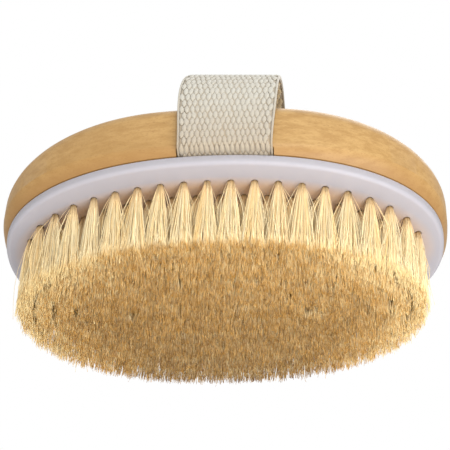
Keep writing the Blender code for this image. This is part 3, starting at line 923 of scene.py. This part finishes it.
def on_strap(strap, line, across, along, out):
    """World points of places given across, along and out of the webbing."""
    even, middle, normal = line
    y = np.interp(along, even, middle[:, 0]) + np.interp(along, even, normal[:, 0]) * out
    z = np.interp(along, even, middle[:, 1]) + np.interp(along, even, normal[:, 1]) * out
    lift = np.clip((z - STRAP_LOW.z) / (STRAP_HIGH.z - STRAP_LOW.z), 0.0, 1.0)
    swell = strap.swell * np.sin(math.pi * lift) ** 2 - strap.pinch * lift**PINCH_POWER
    x = strap.centre + across * (1.0 + swell / (strap.width / 2)) + strap.lean * lift**LEAN_POWER
    return np.stack([x, y, z - (across * strap.tilt + strap.sag) * lift**2], axis=-1)


class BRUSH_OT_strap(bpy.types.Operator):
    """Weave the cotton hand strap: a core, raised floats on both faces and two selvedges"""

    bl_idname = "brush.strap"
    bl_label = "Hand Strap"

    def execute(self, context):
        strap = context.scene.brush_strap
        line = strap_line(strap)
        half_width = strap.width / 2
        edge = strap.selvedge / 2
        pieces = [self.band(strap, line, 0.0, half_width - edge, CORE_HALF, CORE_RELIEF)]
        for side in (-1, 1):
            across = side * (half_width - edge)
            pieces.append(self.band(strap, line, across, edge, RIB_HALF, RIB_RELIEF))
        pieces += self.floats(strap, line)
        select_only(*pieces)
        bpy.ops.object.join()
        obj = bpy.context.object
        obj.name = obj.data.name = "webbing_strap"
        finished(obj, webbing_material(strap), "webbing", "hand_strap")
        return {"FINISHED"}

    def band(self, strap, line, across, half_width, half, relief):
        """A closed ribbon with rounded edges that follows the strap from end to end."""
        tube = rod(sides=12, cuts=300)
        shape = np.array([v.co for v in tube.data.vertices])
        ring = np.sign(shape[:, 0]) * np.abs(shape[:, 0]) ** BAND_POWER
        along = (shape[:, 2] + 0.5) * line[0][-1]
        out = shape[:, 1] * (strap.thickness * half)
        points = on_strap(strap, line, across + ring * half_width, along, out)
        tube.data.vertices.foreach_set("co", points.astype(np.float32).ravel())
        layer = tube.data.color_attributes.new("tint", "FLOAT_COLOR", "POINT")
        # relief here sets how much painted shade the band carries
        tints = np.tile([0.2, 0.0, relief, 1.0], (len(points), 1))
        layer.data.foreach_set("color", tints.astype(np.float32).ravel())
        tube.data.shade_smooth()
        return tube

    def floats(self, strap, line):
        """Rice-grain floats in brick order, on both faces."""
        rng = np.random.default_rng(FLOAT_SEED)
        bpy.ops.object.select_all(action="DESELECT")
        bpy.ops.mesh.primitive_uv_sphere_add(segments=8, ring_count=5, radius=1.0)
        grain = bpy.context.object
        shape = np.array([v.co for v in grain.data.vertices])[:, [0, 2, 1]]
        narrow = 1.0 - FLOAT_POINT * np.abs(shape[:, 1]) ** 1.8
        reach = line[0][-1]
        half_width = strap.width / 2
        columns = int(2 * (half_width - strap.selvedge * 0.75) / strap.column)
        rows = int(reach / strap.row)
        places = []
        for row in range(rows):
            offset = 0.5 * (row % 2)
            for column in range(columns - (row % 2)):
                across = (column + offset - (columns - 1) / 2) * strap.column
                places.append((across, (row + 0.5) * reach / rows))
        places = np.array(places)
        made = []
        height = strap.thickness / 2
        for face, side in (("outer", 1), ("inner", -1)):
            jitter = rng.normal(0.0, 0.05, places.shape) * (strap.column, strap.row * 0.5)
            centre = places + jitter
            size = rng.uniform(*FLOAT_SIZES, (len(places), 1))
            slant = rng.normal(0.0, 0.06, (len(places), 1))
            half_across = strap.column * FLOAT_ACROSS * size
            half_along = strap.row * FLOAT_ALONG * size
            along = centre[:, 1:] + shape[None, :, 1] * half_along
            across = centre[:, :1] + shape[None, :, 0] * narrow[None] * half_across
            across = across + shape[None, :, 1] * half_along * slant
            out = side * (height * FLOAT_SINK + shape[None, :, 2] * height * (1 - FLOAT_SINK))
            along = np.clip(along, 0.0, reach)
            points = on_strap(strap, line, across, along, out)
            tints = np.ones((len(places), len(shape), 4))
            tints[:, :, 0] = rng.random((len(places), 1))
            tints[:, :, 1] = 0.5
            # floats lighter at their crests and darker down their sides: painted light and shade
            crest = np.clip(shape[:, 2] * side, 0.0, 1.0)
            tints[:, :, 2] = 0.25 + 0.75 * np.clip(crest[None] * 1.6, 0.0, 1.0)
            tints[:, :, 3] = max(0, side)
            made.append(copies(f"floats_{face}", grain.data, points, tints))
        bpy.data.objects.remove(grain, do_unlink=True)
        return made


# ---------------------------------------------------------------- steel parts
class BRUSH_OT_steel(bpy.types.Operator):
    """Give the staples and draw wires their drawn steel"""

    bl_idname = "brush.steel"
    bl_label = "Staples and Wires"

    def execute(self, context):
        material = steel_material()
        for name in STEEL_NODES:
            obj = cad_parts[name]
            obj.data.materials.clear()
            obj.data.materials.append(material)
        return {"FINISHED"}


# ---------------------------------------------------------------- stage
LIGHTS = (  # name, place, diameter and power
    ("key", (0.12, -0.84, 0.22), 0.5, 2.6),
    ("front", (0.12, -0.18, -0.16), 0.2, 0.62),
    ("low", (-0.1, 0.0, -0.7), 0.6, 0.6),
    ("top", (0.2, 0.2, 0.8), 0.6, 2.4),
)
LIT_POINT = Vector((0.0, 0.0, 0.03))
CAMERA_AIM = Vector((0.0006, -0.0064, 0.0315))
CAMERA_PIVOT = Vector((0.0, 0.0, PLATE_LOW.z - 0.001))
WORLD_LIGHT = 0.84
FLOOR_DROP = 0.0002


def area_light(name, location, size, power):
    data = bpy.data.lights.new(name, "AREA")
    data.shape = "DISK"
    data.size = size
    data.energy = power
    lamp = bpy.data.objects.new(name, data)
    bpy.context.scene.collection.objects.link(lamp)
    lamp.location = location
    lamp.visible_camera = False
    lamp.rotation_mode = "QUATERNION"
    lamp.rotation_quaternion = (LIT_POINT - Vector(location)).to_track_quat("-Z", "Y")


class BRUSH_OT_stage(bpy.types.Operator):
    """Set the camera, a pale floor and soft studio light"""

    bl_idname = "brush.stage"
    bl_label = "Stage"

    def execute(self, context):
        stage = context.scene.brush_stage
        self.camera(context, stage)
        self.floor(stage)
        self.world(context)
        for light in LIGHTS:
            area_light(*light)
        return {"FINISHED"}

    def camera(self, context, stage):
        level = math.cos(stage.elevation)
        right, ahead = math.sin(stage.azimuth) * level, -math.cos(stage.azimuth) * level
        back = Vector((right, ahead, math.sin(stage.elevation)))
        data = bpy.data.cameras.new("camera")
        data.lens = stage.lens
        data.sensor_width = 36.0
        camera = bpy.data.objects.new("camera", data)
        context.scene.collection.objects.link(camera)
        camera.location = CAMERA_PIVOT + back * stage.distance
        turn = (CAMERA_AIM - camera.location).to_track_quat("-Z", "Y")
        camera.rotation_mode = "QUATERNION"
        camera.rotation_quaternion = turn @ Quaternion((0.0, 0.0, 1.0), stage.roll)
        context.scene.camera = camera

    def floor(self, stage):
        bpy.ops.object.select_all(action="DESELECT")
        bpy.ops.mesh.primitive_plane_add(size=6.0, location=(0.0, 0.0, -FLOOR_DROP))
        floor = bpy.context.object
        floor.name = "floor"
        floor.data.materials.append(floor_material(stage))
        for ray in ("shadow", "diffuse", "glossy", "transmission"):
            setattr(floor, f"visible_{ray}", False)

    def world(self, context):
        """White to the eye, softer as a light."""
        world = bpy.data.worlds.new("studio")
        world.use_nodes = True
        tree = world.node_tree
        background = tree.nodes["Background"]
        background.inputs["Color"].default_value = (1.0, 1.0, 1.0, 1.0)
        rays = add_node(tree, "ShaderNodeLightPath")
        strength = spread(tree, rays.outputs["Is Camera Ray"], 0.0, 1.0, WORLD_LIGHT, 1.0)
        tree.links.new(strength, background.inputs["Strength"])
        context.scene.world = world
        context.scene.view_settings.view_transform = "Standard"


# ---------------------------------------------------------------- panel and registration
OPERATORS = (
    BRUSH_OT_stage,
    BRUSH_OT_back,
    BRUSH_OT_plate,
    BRUSH_OT_tufts,
    BRUSH_OT_strap,
    BRUSH_OT_steel,
)
SETTINGS = {
    "brush_back": BackSettings,
    "brush_plate": PlateSettings,
    "brush_tufts": TuftSettings,
    "brush_strap": StrapSettings,
    "brush_stage": StageSettings,
}


class BRUSH_PT_panel(bpy.types.Panel):
    """Lists the pieces of the brush"""

    bl_idname = "BRUSH_PT_panel"
    bl_label = "Body Dry Brush"
    bl_space_type = "VIEW_3D"
    bl_region_type = "UI"
    bl_category = "Brush"

    def draw(self, context):
        for operator in OPERATORS:
            self.layout.operator(operator.bl_idname)
        for name, group in SETTINGS.items():
            box = self.layout.box()
            for key in group.__annotations__:
                box.prop(getattr(context.scene, name), key)


def register():
    for group in SETTINGS.values():
        bpy.utils.register_class(group)
    for operator in OPERATORS:
        bpy.utils.register_class(operator)
    bpy.utils.register_class(BRUSH_PT_panel)
    for name, group in SETTINGS.items():
        setattr(bpy.types.Scene, name, bpy.props.PointerProperty(type=group))


def unregister():
    for name in SETTINGS:
        delattr(bpy.types.Scene, name)
    bpy.utils.unregister_class(BRUSH_PT_panel)
    for operator in reversed(OPERATORS):
        bpy.utils.unregister_class(operator)
    for group in reversed(list(SETTINGS.values())):
        bpy.utils.unregister_class(group)


def main():
    register()
    bpy.ops.brush.stage()
    bpy.ops.brush.back()
    bpy.ops.brush.plate()
    bpy.ops.brush.tufts()
    bpy.ops.brush.strap()
    bpy.ops.brush.steel()


if __name__ == "__main__":
    main()
